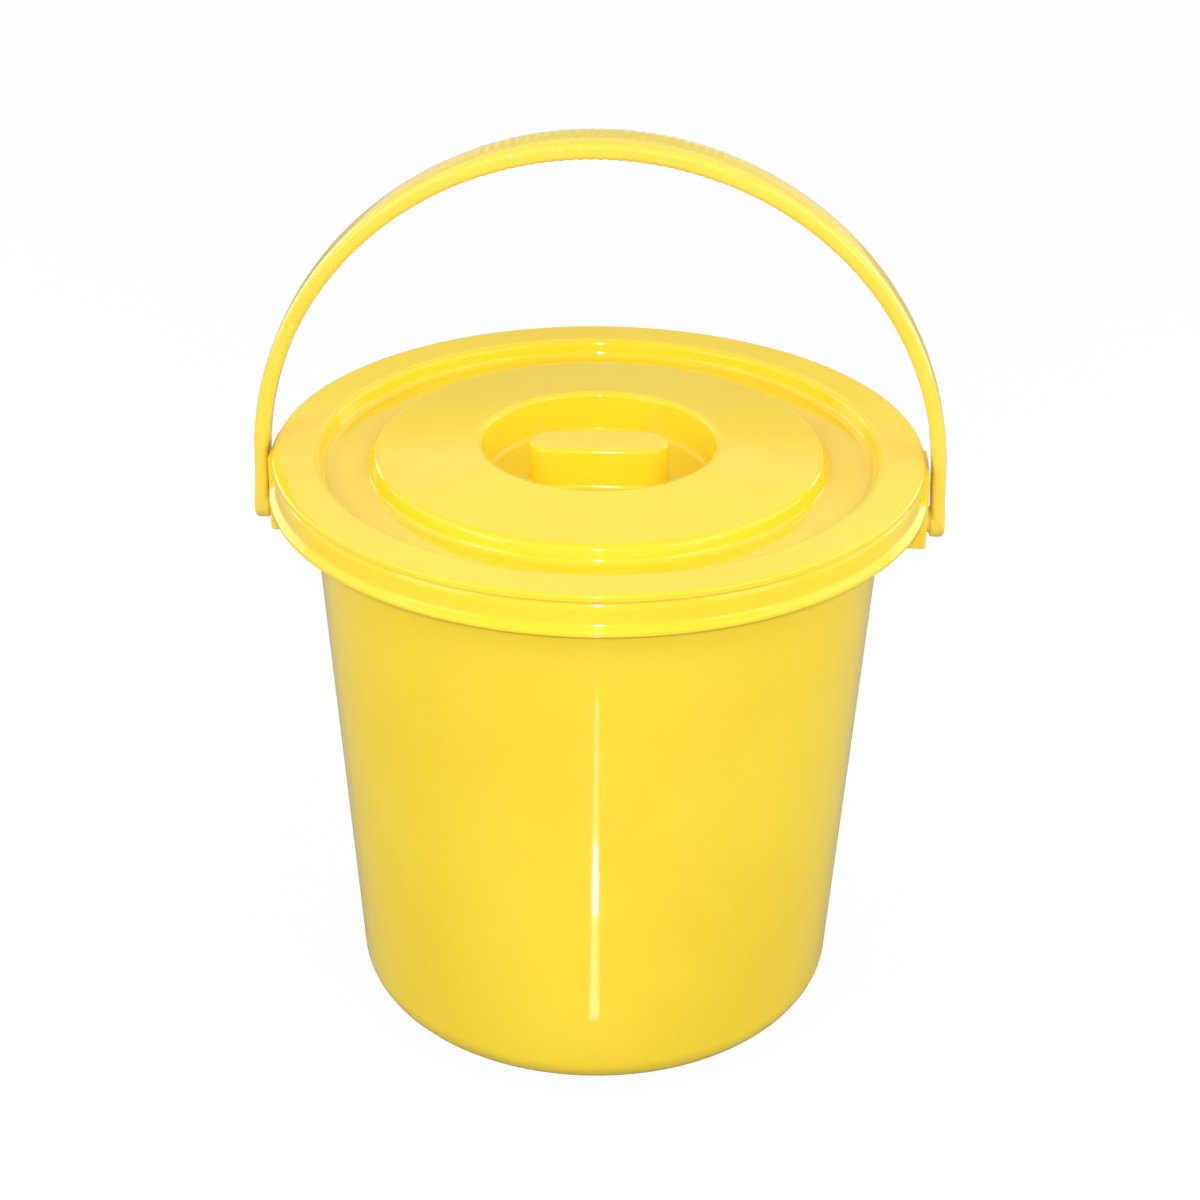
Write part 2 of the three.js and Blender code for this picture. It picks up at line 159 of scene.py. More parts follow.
@dataclass(frozen=True)
class MouldedPolypropylene:
    """Glossy injection moulded polypropylene from a polished steel mould.

    The eye sees a strong sheen with soft, slightly wavy reflections, broad and weak patches
    of a deeper yellow, and hair scratches and paler edges from use.
    """

    name: str
    colour: str = "#fcde35"
    deep_colour: str = "#fad72e"
    rubbed_colour: str = "#fde55f"
    rubbed_share: float = 0.45
    rubbed_edges: tuple[float, float] = (0.52, 0.62)
    roughness: float = 0.075
    roughness_spread: float = 0.02
    patch_size: float = 18.0
    patch_edges: tuple[float, float] = (0.3, 0.7)
    flow_size: float = 90.0
    flow_edges: tuple[float, float] = (0.35, 0.68)
    scratch_size: float = 2.4
    scratch_stretch: float = 14.0
    scratch_turn: tuple[float, float, float] = (0.2, 0.1, 0.6)
    scratch_edges: tuple[float, float] = (0.64, 0.74)
    scratch_roughness: float = 0.08
    wave_size: float = 55.0
    wave_height: float = 0.05
    peel_size: float = 1.6
    peel_height: float = 0.0007
    noise_roughness: float = 0.55
    ior: float = 1.49
    subsurface: float = 0.06
    subsurface_depth: float = 2.5
    subsurface_spread: tuple[float, float, float] = (1.0, 0.6, 0.12)

    def patterns(self, tree: bpy.types.NodeTree) -> dict[str, bpy.types.NodeSocket]:
        """Makes the noise patterns of the moulding, each with its own size in millimetres.

        Args:
            tree: the material's node tree.

        Returns:
            Each pattern's strength, by the pattern's name.
        """
        place = add_node(tree, "ShaderNodeTexCoord").outputs["Object"]
        # Hair scratches are noise drawn out along the wall. Real ones are about 0.1 mm wide,
        # and these are drawn as coarse as they need to show.
        stretched = add_node(
            tree, "ShaderNodeMapping",
            {"Scale": (self.scratch_stretch, self.scratch_stretch, 1.0), "Rotation": self.scratch_turn},
            {"Vector": place},
        ).outputs["Vector"]
        # Each pattern's size, its octaves of detail, and where on the piece it is read.
        sizes = {
            "flow": (self.flow_size, 3.0, place),
            "scratches": (self.scratch_size * self.scratch_stretch, 2.0, stretched),
            "patches": (self.patch_size, 3.0, place),
            "wave": (self.wave_size, 1.0, place),
            "peel": (self.peel_size, 2.0, place),
        }
        made = {}
        for name, (size, detail, vector) in sizes.items():
            made[name] = add_node(
                tree, "ShaderNodeTexNoise",
                {"Scale": per_mm(size), "Detail": detail, "Roughness": self.noise_roughness},
                {"Vector": vector},
            ).outputs["Fac"]
        return made

    def surface_colour(
        self, tree: bpy.types.NodeTree, patterns: dict[str, bpy.types.NodeSocket],
    ) -> bpy.types.NodeSocket:
        """Makes the colour, with the melt's flow and the rubbed edges in it.

        Args:
            tree: the material's node tree.
            patterns: the noise patterns.

        Returns:
            The colour.
        """
        # Flow of the melt: broad, weak patches of deeper yellow.
        flow = add_node(
            tree, "ShaderNodeMapRange",
            {"From Min": self.flow_edges[0], "From Max": self.flow_edges[1]},
            {"Value": patterns["flow"]},
        ).outputs["Result"]
        body_colour = add_node(
            tree, "ShaderNodeMix",
            {MIX_FIRST: linear(self.colour), MIX_SECOND: linear(self.deep_colour)},
            {MIX_SHARE: flow},
            data_type="RGBA",
        ).outputs[MIX_RESULT]
        # Rubbed edges: convex corners are a shade paler.
        pointiness = add_node(tree, "ShaderNodeNewGeometry").outputs["Pointiness"]
        edge = add_node(
            tree, "ShaderNodeMapRange",
            {
                "From Min": self.rubbed_edges[0], "From Max": self.rubbed_edges[1],
                "To Max": self.rubbed_share,
            },
            {"Value": pointiness},
        ).outputs["Result"]
        return add_node(
            tree, "ShaderNodeMix",
            {MIX_SECOND: linear(self.rubbed_colour)},
            {MIX_SHARE: edge, MIX_FIRST: body_colour},
            data_type="RGBA",
        ).outputs[MIX_RESULT]

    def surface_roughness(
        self, tree: bpy.types.NodeTree, patterns: dict[str, bpy.types.NodeSocket],
    ) -> bpy.types.NodeSocket:
        """Makes the roughness: patches of the mould's polish, and scratches over them.

        Args:
            tree: the material's node tree.
            patterns: the noise patterns.

        Returns:
            The roughness.
        """
        scratches = add_node(
            tree, "ShaderNodeMapRange",
            {
                "From Min": self.scratch_edges[0], "From Max": self.scratch_edges[1],
                "To Max": self.scratch_roughness,
            },
            {"Value": patterns["scratches"]},
        ).outputs["Result"]
        patches = add_node(
            tree, "ShaderNodeMapRange",
            {
                "From Min": self.patch_edges[0], "From Max": self.patch_edges[1],
                "To Min": self.roughness - self.roughness_spread,
                "To Max": self.roughness + self.roughness_spread,
            },
            {"Value": patterns["patches"]},
        ).outputs["Result"]
        return add_node(
            tree, "ShaderNodeMath", None, {0: patches, 1: scratches}, operation="ADD",
        ).outputs["Value"]

    def material(self) -> bpy.types.Material:
        """Builds the node material.

        Returns:
            The finished material.
        """
        material, tree = new_material(self.name)
        patterns = self.patterns(tree)
        # Moulded surface: a slow wave of the wall, and the fine peel of the mould's polish.
        wave = add_node(
            tree, "ShaderNodeBump",
            {"Distance": self.wave_height * MM, "Strength": 1.0},
            {"Height": patterns["wave"]},
        ).outputs["Normal"]
        peel = add_node(
            tree, "ShaderNodeBump",
            {"Distance": self.peel_height * MM, "Strength": 1.0},
            {"Height": patterns["peel"], "Normal": wave},
        ).outputs["Normal"]
        shader = add_node(
            tree, "ShaderNodeBsdfPrincipled",
            {
                "IOR": self.ior,
                "Metallic": 0.0,
                "Subsurface Weight": self.subsurface,
                "Subsurface Radius": self.subsurface_spread,
                "Subsurface Scale": self.subsurface_depth * MM,
            },
            {
                "Base Color": self.surface_colour(tree, patterns),
                "Roughness": self.surface_roughness(tree, patterns),
                "Normal": peel,
            },
        )
        add_node(tree, "ShaderNodeOutputMaterial", None, {"Surface": shader.outputs["BSDF"]})
        return material


@dataclass(frozen=True)
class SatinLaminate:
    """White melamine laminate of a table top, pressed against a satin plate.

    The eye sees an even white without a gloss, with the bucket's soft shadow on it. Its
    dim colour is what the bucket's own gloss sees, as it would of the floor of a dim room.
    """

    name: str = "white_laminate"
    colour: str = "#f4f4f4"
    dim_colour: str = "#a0a0a0"
    roughness: float = 0.5
    glow_share: float = 0.94

    def material(self) -> bpy.types.Material:
        """Builds the node material.

        Returns:
            The finished material.
        """
        material, tree = new_material(self.name)
        ray = add_node(tree, "ShaderNodeLightPath").outputs["Is Camera Ray"]
        colour = add_node(
            tree, "ShaderNodeMix",
            {MIX_FIRST: linear(self.dim_colour), MIX_SECOND: linear(self.colour)},
            {MIX_SHARE: ray},
            data_type="RGBA",
        ).outputs[MIX_RESULT]
        shader = add_node(
            tree, "ShaderNodeBsdfPrincipled", {"Roughness": self.roughness}, {"Base Color": colour},
        )
        glow = add_node(tree, "ShaderNodeEmission", {"Color": linear("#ffffff"), "Strength": 1.0})
        share = add_node(tree, "ShaderNodeMath", {1: self.glow_share}, {0: ray}, operation="MULTIPLY")
        mixed = add_node(
            tree, "ShaderNodeMixShader", None,
            {0: share.outputs[0], 1: shader.outputs[0], 2: glow.outputs[0]},
        )
        add_node(tree, "ShaderNodeOutputMaterial", None, {"Surface": mixed.outputs[0]})
        return material


# Outlines and meshes


@dataclass(frozen=True)
class Corner:
    """A corner of an outline, with the radius of its round."""

    r: float
    z: float
    round: float = 0.0


def rounded_outline(corners: list[Corner], step_deg: float = 11.0) -> list[Vector]:
    """Rounds every corner of an open outline with an arc of its own radius.

    Args:
        corners: the corners in order.
        step_deg: the largest turn between two points of an arc.

    Returns:
        The points, with a point close to both ends of each long straight run.
    """
    points: list[Vector] = []
    for i, here in enumerate(corners):
        at = Vector((here.r, here.z))
        if not here.round or i in (0, len(corners) - 1):
            points.append(at)
            continue
        back = Vector((corners[i - 1].r, corners[i - 1].z)) - at
        ahead = Vector((corners[i + 1].r, corners[i + 1].z)) - at
        half_angle = back.angle(ahead) / 2
        reach = min(here.round / math.tan(half_angle), ROUND_SHARE * min(back.length, ahead.length))
        radius = reach * math.tan(half_angle)
        centre = at + (back.normalized() + ahead.normalized()).normalized() * radius / math.sin(half_angle)
        start = at + back.normalized() * reach - centre
        end = at + ahead.normalized() * reach - centre
        sweep = start.angle_signed(end)
        steps = max(FEWEST_ARC_STEPS, math.ceil(math.degrees(abs(sweep)) / step_deg))
        for step in range(steps + 1):
            points.append(Matrix.Rotation(-sweep * step / steps, 2) @ start + centre)
    return with_supports(points)


def with_supports(points: list[Vector], distance: float = SUPPORT) -> list[Vector]:
    """Adds points near the ends of long straight runs, so that flat faces shade flat.

    Args:
        points: the outline's points.
        distance: how far from each end the added point lies.

    Returns:
        The outline with its added points.
    """
    supported = [points[0]]
    for start, end in zip(points, points[1:]):
        run = end - start
        if run.length > 4 * distance:
            step = run.normalized() * distance
            supported += [start + step, end - step]
        supported.append(end)
    return supported


def offset_corners(corners: list[Corner], distance: float) -> list[Corner]:
    """Moves an open outline sideways, to the right of its run.

    Args:
        corners: the outline.
        distance: how far it moves.

    Returns:
        The moved outline, with its rounds grown or shrunk to match.
    """
    normals = []
    for here, after in zip(corners, corners[1:]):
        along = Vector((after.r - here.r, after.z - here.z)).normalized()
        normals.append(Vector((along.y, -along.x)))
    moved = []
    for i, here in enumerate(corners):
        first = normals[max(i - 1, 0)]
        second = normals[min(i, len(normals) - 1)]
        mitre = (first + second).normalized()
        mitre *= distance / mitre.dot(first)
        turn = first.x * second.y - first.y * second.x
        side = math.copysign(distance, turn * distance) if abs(turn) > NO_TURN else 0.0
        new_round = max(here.round + side, SMALLEST_ROUND) if here.round else 0.0
        moved.append(Corner(here.r + mitre.x, here.z + mitre.y, new_round))
    return moved


class Moulding:
    """Gathers the surfaces of one moulding, in millimetres, and makes one object of them."""

    def __init__(self) -> None:
        """Starts with no surface."""
        self.mesh = bmesh.new()

    def skin(self, rings: list[list[Vector]], capped: bool = True, closed: bool = False) -> None:
        """Joins a row of rings of the same number of points.

        Args:
            rings: the rings, each a closed loop of points.
            capped: whether the first and last ring are filled.
            closed: whether the last ring joins up with the first.
        """
        rows = [[self.mesh.verts.new(p) for p in ring] for ring in rings]
        pairs = list(zip(rows, rows[1:])) + ([(rows[-1], rows[0])] if closed else [])
        for lower, upper in pairs:
            count = len(lower)
            for i in range(count):
                j = (i + 1) % count
                self.mesh.faces.new((lower[i], lower[j], upper[j], upper[i]))
        if capped and not closed:
            self.mesh.faces.new(list(reversed(rows[0])))
            self.mesh.faces.new(rows[-1])

    def revolve(self, outline: list[Vector], segments: int, place: Matrix | None = None) -> None:
        """Turns a closed outline of radius and height about Z.

        Args:
            outline: points of (radius, height).
            segments: how many steps the turn has.
            place: where the turned surface goes.
        """
        place = place or Matrix.Identity(4)
        rings = []
        for step in range(segments):
            angle = 2 * math.pi * step / segments
            around = (math.cos(angle), math.sin(angle))
            rings.append([place @ Vector((p.x * around[0], p.x * around[1], p.y)) for p in outline])
        self.skin(rings, closed=True)

    def make(self, name: str, turn_deg: float = 0.0, sharp_deg: float = 38.0) -> bpy.types.Object:
        """Makes the object, in metres.

        Args:
            name: the object's name.
            turn_deg: a turn about Z.
            sharp_deg: edges that bend more than this stay sharp.

        Returns:
            The object, linked to the scene.
        """
        bmesh.ops.remove_doubles(self.mesh, verts=self.mesh.verts, dist=MERGE_DISTANCE)
        bmesh.ops.dissolve_degenerate(self.mesh, edges=self.mesh.edges, dist=SHORTEST_EDGE)
        bmesh.ops.recalc_face_normals(self.mesh, faces=self.mesh.faces)
        bmesh.ops.transform(
            self.mesh,
            matrix=Matrix.Rotation(math.radians(turn_deg), 4, "Z") @ Matrix.Scale(MM, 4),
            verts=self.mesh.verts,
        )
        data = bpy.data.meshes.new(name)
        self.mesh.to_mesh(data)
        self.mesh.free()
        data.shade_smooth()
        data.set_sharp_from_angle(angle=math.radians(sharp_deg))
        thing = bpy.data.objects.new(name, data)
        bpy.context.scene.collection.objects.link(thing)
        return thing


def arc_points(centre: Vector, radius: float, start_deg: float, end_deg: float, steps: int) -> list[Vector]:
    """Points along an arc in a plane, both ends included."""
    angles = [math.radians(start_deg + (end_deg - start_deg) * i / steps) for i in range(steps + 1)]
    return [centre + radius * Vector((math.cos(a), math.sin(a))) for a in angles]


@dataclass
class Piece:
    """A moulded piece with its finish."""

    finish: MouldedPolypropylene

    def dress(self, thing: bpy.types.Object, body: Body, *nodes: str) -> None:
        """Gives the piece's object its material and body, and hides the solids that it stands for.

        Args:
            thing: the object.
            body: the body that it rides on.
            *nodes: the solids that it replaces.
        """
        thing.data.materials.append(self.finish.material())
        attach(thing, body.value)
        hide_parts(*nodes)


@dataclass
class Bucket(Piece):
    """The bucket: wall, standing ring, turned-down rim, flared lip and two ears."""

    wall: float = 2.0
    floor: float = 2.4
    base_radius: float = 107.7
    base_round: float = 21.5
    height: float = 259.6
    mouth_radius: float = 122.8
    mouth_round: float = 2.4
    ring_inner: float = 79.0
    ring_foot_round: float = 0.8
    base_recess: float = 3.0
    base_step: float = 3.0
    base_step_round: float = 2.0
    rim_radius: float = 138.9
    rim_round: float = 5.5
    rim_thickness: float = 2.3
    under_rim_round: float = 1.5
    skirt_draft: float = 0.4
    lip_radius: float = 141.9
    lip_height: float = 1.9
    lip_inner_round: float = 0.5
    lip_foot_round: float = 0.8
    lip_top_round: float = 0.9
    skirt_depth: float = 15.2
    lip_flare_height: float = 2.3
    flare_round: float = 2.0
    ear_face: float = 141.8
    ear_width: float = 29.0
    ear_plate: float = 3.7
    ear_side_wall: float = 2.4
    ear_corner: float = 1.6
    ear_inner_corner: float = 1.0
    ear_corner_steps: int = 8
    ear_inner_corner_steps: int = 4
    # How deep the ear's sides sink into the wall, as a share of the wall.
    ear_root_share: float = 0.6
    ear_foot: float = 7.6
    ear_below_rim: float = 1.8
    ear_edge_round: float = 0.7
    ear_edge_steps: int = 4
    pivot_below_rim: float = 28.2
    segments: int = 224

    @property
    def pivot_z(self) -> float:
        """Height of the bail's pivot."""
        return self.height - self.pivot_below_rim

    @property
    def skirt_foot(self) -> float:
        """Height of the lip's lower edge."""
        return self.height - self.skirt_depth

    @property
    def flare_top(self) -> float:
        """Height at which the skirt starts to flare into the lip."""
        return self.skirt_foot + self.lip_height + self.lip_flare_height

    def wall_radius(self, z: float) -> float:
        """Outer radius of the plain wall at a height."""
        top = self.mouth_radius + self.wall
        return self.base_radius + (top - self.base_radius) * z / self.height

    def outline(self) -> list[Vector]:
        """Draws the moulding's closed outline, from the middle of the base outwards.

        Returns:
            Points of (radius, height).
        """
        flange_under = self.height - self.rim_thickness
        skirt_foot_radius = self.rim_radius + self.skirt_draft
        floor_top = self.base_recess + self.floor
        outside = [
            Corner(0, self.base_recess),
            Corner(self.ring_inner - self.base_step, self.base_recess, self.base_step_round),
            Corner(self.ring_inner, 0, self.ring_foot_round),
            Corner(self.base_radius, 0, self.base_round),
            Corner(self.wall_radius(flange_under), flange_under, self.under_rim_round),
            Corner(self.rim_radius - self.rim_thickness, flange_under, self.rim_round - self.rim_thickness),
            Corner(skirt_foot_radius - self.rim_thickness, self.flare_top, self.flare_round),
            Corner(self.lip_radius - self.rim_thickness, self.skirt_foot, self.lip_inner_round),
            Corner(self.lip_radius, self.skirt_foot, self.lip_foot_round),
            Corner(self.lip_radius, self.skirt_foot + self.lip_height, self.lip_top_round),
            Corner(skirt_foot_radius, self.flare_top, self.flare_round),
            Corner(self.rim_radius, self.height, self.rim_round),
        ]
        inside = [
            Corner(self.mouth_radius, self.height, self.mouth_round),
            Corner(self.wall_radius(self.floor) - self.wall, self.floor, self.base_round - self.wall),
            Corner(self.ring_inner + self.floor / 2, self.floor, self.ring_foot_round),
            Corner(self.ring_inner - self.base_step + self.floor / 2, floor_top, self.base_step_round),
            Corner(0, floor_top),
        ]
        return rounded_outline(outside + inside)

    def ear_plan(self, inset: float) -> list[Vector]:
        """Draws the ear's U-shaped plan, open towards the wall.

        Args:
            inset: how far the plan's edges are drawn in, for the rounds at its ends.

        Returns:
            A closed loop of points.
        """
        near = self.wall_radius(self.pivot_z) - self.ear_root_share * self.wall
        outer_round = self.ear_corner - inset
        outer_half = self.ear_width / 2 - inset
        outer = self.ear_face - inset - outer_round
        outer_steps = self.ear_corner_steps
        inner_round = self.ear_inner_corner
        inner_half = self.ear_width / 2 - self.ear_side_wall + inset
        inner = self.ear_face - self.ear_plate + inset - inner_round
        inner_steps = self.ear_inner_corner_steps
        plan = [Vector((near, -outer_half))]
        plan += arc_points(Vector((outer, outer_round - outer_half)), outer_round, -90, 0, outer_steps)
        plan += arc_points(Vector((outer, outer_half - outer_round)), outer_round, 0, 90, outer_steps)
        plan += [Vector((near, outer_half)), Vector((near, inner_half))]
        plan += arc_points(Vector((inner, inner_half - inner_round)), inner_round, 90, 0, inner_steps)
        plan += arc_points(Vector((inner, inner_round - inner_half)), inner_round, 0, -90, inner_steps)
        plan += [Vector((near, -inner_half))]
        return plan

    def add_ear(self, moulding: Moulding, turn_deg: float) -> None:
        """Adds one ear, with rounded upper and lower edges.

        Args:
            moulding: the moulding that gets the ear.
            turn_deg: where around the bucket it is.
        """
        foot = self.pivot_z - self.ear_foot
        top = self.height - self.ear_below_rim
        radius = self.ear_edge_round
        steps = self.ear_edge_steps
        turned = [math.radians(90 * step / steps) for step in range(steps + 1)]
        edge = [(radius * (1 - math.sin(a)), radius * (1 - math.cos(a))) for a in turned]
        straight = radius + SUPPORT
        levels = [(top - drop, inset) for drop, inset in reversed(edge)]
        levels += [(top - straight, 0.0), (foot + straight, 0.0)]
        levels += [(foot + lift, inset) for lift, inset in edge]
        turn = Matrix.Rotation(math.radians(turn_deg), 4, "Z")
        rings = [
            [turn @ Vector((p.x, p.y, z)) for p in self.ear_plan(inset)]
            for z, inset in levels
        ]
        moulding.skin(rings)

    def build(self) -> bpy.types.Object:
        """Makes the bucket.

        Returns:
            The bucket's object.
        """
        moulding = Moulding()
        moulding.revolve(self.outline(), self.segments)
        for turn_deg in (0, 180):
            self.add_ear(moulding, turn_deg)
        thing = moulding.make("bucket_moulding")
        self.dress(thing, Body.BUCKET, "bucket")
        return thing


@dataclass
class Lid(Piece):
    """The loose lid: flat band, trough, domed plateau and a finger well with its grip bar."""

    bucket: Bucket
    wall: float = 1.8
    overhang: float = 1.0
    edge_drop: float = 0.8
    edge_round: float = 1.2
    seat_gap: float = 0.3
    band_inner: float = 120.6
    band_rise: float = 0.2
    band_round: float = 2.5
    trough_outer: float = 119.0
    trough_inner: float = 98.6
    trough_depth: float = 7.6
    trough_round: float = 3.2
    plateau_radius: float = 96.5
    plateau_drop: float = 0.4
    plateau_round: float = 3.0
    well_radius: float = 50.6
    well_crown: float = 3.3
    well_edge_round: float = 2.2
    well_depth: float = 18.5
    well_draft: float = 1.4
    well_floor_round: float = 3.0
    bar_length: float = 60.0
    bar_width: float = 21.5
    bar_below_crown: float = 0.6
    bar_round: float = 1.8
    bar_round_steps: int = 8
    bar_end_steps: int = 28
    bar_fillet: float = 1.6
    bar_fillet_steps: int = 5
    # How deep the bar's foot sinks into the well's floor, and how far it spreads there.
    bar_root: float = 0.3
    bar_root_flare: float = 0.1
    turn_deg: float = 2.4
    segments: int = 224

    @property
    def underside(self) -> float:
        """Height of the band's underside."""
        return self.bucket.height + self.seat_gap

    @property
    def band_top(self) -> float:
        """Height of the lid's flat band."""
        return self.underside + self.wall

    @property
    def well_floor(self) -> float:
        """Height of the well's floor."""
        return self.band_top + self.well_crown - self.well_depth

    def top_corners(self) -> list[Corner]:
        """Draws the lid's upper face, from its edge to the middle of the well.

        Returns:
            The corners, in order.
        """
        trough = self.band_top - self.trough_depth
        edge = self.bucket.rim_radius + self.overhang
        return [
            Corner(edge, self.underside - self.edge_drop),
            Corner(edge, self.band_top, self.edge_round),
            Corner(self.band_inner, self.band_top + self.band_rise, self.band_round),
            Corner(self.trough_outer, trough, self.trough_round),
            Corner(self.trough_inner, trough, self.trough_round),
            Corner(self.plateau_radius, self.band_top - self.plateau_drop, self.plateau_round),
            Corner(self.well_radius, self.band_top + self.well_crown, self.well_edge_round),
            Corner(self.well_radius - self.well_draft, self.well_floor, self.well_floor_round),
            Corner(0, self.well_floor),
        ]

    def outline(self) -> list[Vector]:
        """Draws the shell's closed outline.

        Returns:
            Points of (radius, height).
        """
        top = self.top_corners()
        under = offset_corners(top, -self.wall)
        under[-1] = Corner(0, under[-1].z)
        return rounded_outline(list(reversed(under)) + top)

    def bar_ring(self, inset: float, z: float) -> list[Vector]:
        """Draws one level of the grip bar, a long shape with round ends.

        Args:
            inset: how far the shape is drawn in.
            z: the level's height.

        Returns:
            A closed loop of points.
        """
        radius = self.bar_width / 2 - inset
        half = (self.bar_length - self.bar_width) / 2
        ring = arc_points(Vector((half, 0)), radius, -90, 90, self.bar_end_steps)
        ring += arc_points(Vector((-half, 0)), radius, 90, 270, self.bar_end_steps)
        return [Vector((p.x, p.y, z)) for p in ring]

    def add_bar(self, moulding: Moulding) -> None:
        """Adds the grip bar with its rounded top and a fillet at its foot.

        Args:
            moulding: the moulding that gets the bar.
        """
        floor = self.well_floor
        top = self.band_top + self.well_crown - self.bar_below_crown
        rings = [self.bar_ring(-self.bar_fillet - self.bar_root_flare, floor - self.bar_root)]
        for step in range(self.bar_fillet_steps + 1):
            angle = math.radians(90 * step / self.bar_fillet_steps)
            out = self.bar_fillet * (1 - math.sin(angle))
            rings.append(self.bar_ring(-out, floor + self.bar_fillet * (1 - math.cos(angle))))
        rings.append(self.bar_ring(0, floor + self.bar_fillet + SUPPORT))
        rings.append(self.bar_ring(0, top - self.bar_round - SUPPORT))
        for step in range(self.bar_round_steps + 1):
            angle = math.radians(90 * step / self.bar_round_steps)
            inset = self.bar_round * (1 - math.cos(angle))
            rings.append(self.bar_ring(inset, top - self.bar_round * (1 - math.sin(angle))))
        rings.append(self.bar_ring(self.bar_round + SUPPORT, top))
        moulding.skin(rings)

    def build(self) -> bpy.types.Object:
        """Makes the lid.

        Returns:
            The lid's object.
        """
        moulding = Moulding()
        moulding.revolve(self.outline(), self.segments)
        self.add_bar(moulding)
        thing = moulding.make("lid_moulding", self.turn_deg)
        self.dress(thing, Body.BUCKET, "lid")
        return thing


@dataclass
class Bail(Piece):
    """The bail: two short legs, a half round arch and a ribbed grip, on snap pegs.

    The section is an oval whose faces are the fuller, the higher its fullness is.
    """

    bucket: Bucket
    radius: float = 146.2
    centre_below_rim: float = 9.8
    leg_thickness: float = 6.2
    leg_width: float = 15.0
    grip_thickness: float = 8.3
    grip_width: float = 22.0
    fullness: float = 3.6
    foot_round: float = 1.8
    leg_splay: float = 0.8
    rib_count: int = 25
    rib_pitch: float = 4.1
    rib_height: float = 0.25
    peg_radius: float = 4.3
    peg_head_radius: float = 5.6
    peg_head_length: float = 2.6
    peg_shoulder_radius: float = 5.6
    peg_gap: float = 0.35
    leg_steps: int = 5
    arch_steps: int = 56
    rib_steps: int = 10
    section_steps: int = 48
    foot_segments: int = 64

    def section(self, thickness: float, width: float, swell: float) -> list[Vector]:
        """Draws the strip's section, an oval with full, crowned faces.

        Args:
            thickness: size through the strip, away from the arch's middle.
            width: size across the strip, front to back.
            swell: how far the section stands out on a rib.

        Returns:
            A closed loop of points.
        """
        points = []
        for step in range(self.section_steps):
            angle = 2 * math.pi * step / self.section_steps
            across = math.cos(angle)
            through = math.sin(angle)
            points.append(Vector((
                math.copysign(abs(across) ** (2 / self.fullness), across) * (width / 2 + swell),
                math.copysign(abs(through) ** (2 / self.fullness), through) * (thickness / 2 + swell),
            )))
        return points

    def stations(self) -> list[tuple[float, float, float]]:
        """Lists the sections along the arch, close together on the ribs.

        Returns:
            Each section's angle in radians, its climb from leg (0) to grip (1), and its rib's swell.
        """
        half_grip = self.rib_count * self.rib_pitch / 2 / self.radius
        start = math.pi / 2 - half_grip
        plain = [start * i / self.arch_steps for i in range(self.arch_steps)]
        places = [(angle, 0.0) for angle in plain]
        for step in range(self.rib_count * self.rib_steps + 1):
            phase = step / self.rib_steps
            swell = self.rib_height * (1 - math.cos(2 * math.pi * phase)) / 2
            places.append((start + phase * self.rib_pitch / self.radius, swell))
        places += [(math.pi - angle, 0.0) for angle in reversed(plain)]
        return [(angle, math.sin(angle), swell) for angle, swell in places]

    def ring(self, x: float, z: float, angle: float, climb: float, swell: float) -> list[Vector]:
        """Sets one section of the strip square to the arch.

        Args:
            x: place of the section's middle.
            z: height of the section's middle.
            angle: the way out from the arch's middle, in radians.
            climb: how far the section has grown from the leg's (0) to the grip's (1).
            swell: how far the section stands out on a rib.

        Returns:
            A closed loop of points.
        """
        thickness = self.leg_thickness + (self.grip_thickness - self.leg_thickness) * climb
        width = self.leg_width + (self.grip_width - self.leg_width) * climb
        out = Vector((math.cos(angle), 0, math.sin(angle)))
        middle = Vector((x, 0, z))
        return [
            middle + Vector((0, p.x, 0)) + out * p.y
            for p in self.section(thickness, width, swell)
        ]

    def add_strip(self, moulding: Moulding) -> None:
        """Adds the legs and the arch as one swept strip.

        Args:
            moulding: the moulding that gets the strip.
        """
        centre_z = self.bucket.height - self.centre_below_rim
        foot_z = self.bucket.pivot_z
        leg = []
        for step in range(self.leg_steps):
            share = step / self.leg_steps
            leg.append((self.radius + self.leg_splay * (1 - share), foot_z + (centre_z - foot_z) * share))
        rings = [self.ring(x, z, 0, 0, 0) for x, z in leg]
        for angle, climb, swell in self.stations():
            x = self.radius * math.cos(angle)
            z = centre_z + self.radius * math.sin(angle)
            rings.append(self.ring(x, z, angle, climb, swell))
        rings += [self.ring(-x, z, math.pi, 0, 0) for x, z in reversed(leg)]
        moulding.skin(rings)

    def foot_outline(self) -> list[Vector]:
        """Draws half the section of a leg's round foot, with its shoulder, peg and snap head.

        Returns:
            Points of (radius from the pivot line, distance from the bucket's middle).
        """
        outer = self.radius + self.leg_splay + self.leg_thickness / 2
        inner = outer - self.leg_thickness
        shoulder = self.bucket.ear_face + self.peg_gap
        head = self.bucket.ear_face - self.bucket.ear_plate - self.peg_gap
        foot = self.leg_width / 2
        return rounded_outline([
            Corner(0, outer),
            Corner(foot, outer, self.foot_round),
            Corner(foot, inner, self.foot_round),
            Corner(self.peg_shoulder_radius, inner),
            Corner(self.peg_shoulder_radius, shoulder),
            Corner(self.peg_radius, shoulder),
            Corner(self.peg_radius, head),
            Corner(self.peg_head_radius, head),
            Corner(self.peg_radius, head - self.peg_head_length),
            Corner(0, head - self.peg_head_length),
        ])

    def build(self) -> bpy.types.Object:
        """Makes the bail.

        Returns:
            The bail's object.
        """
        moulding = Moulding()
        self.add_strip(moulding)
        lift = Matrix.Translation((0, 0, self.bucket.pivot_z))
        for turn_deg in (90, -90):
            tip = Matrix.Rotation(math.radians(turn_deg), 4, "Y")
            moulding.revolve(self.foot_outline(), self.foot_segments, lift @ tip)
        thing = moulding.make("bail_moulding")
        self.dress(thing, Body.BAIL, "bail_handle")
        return thing


# Studio


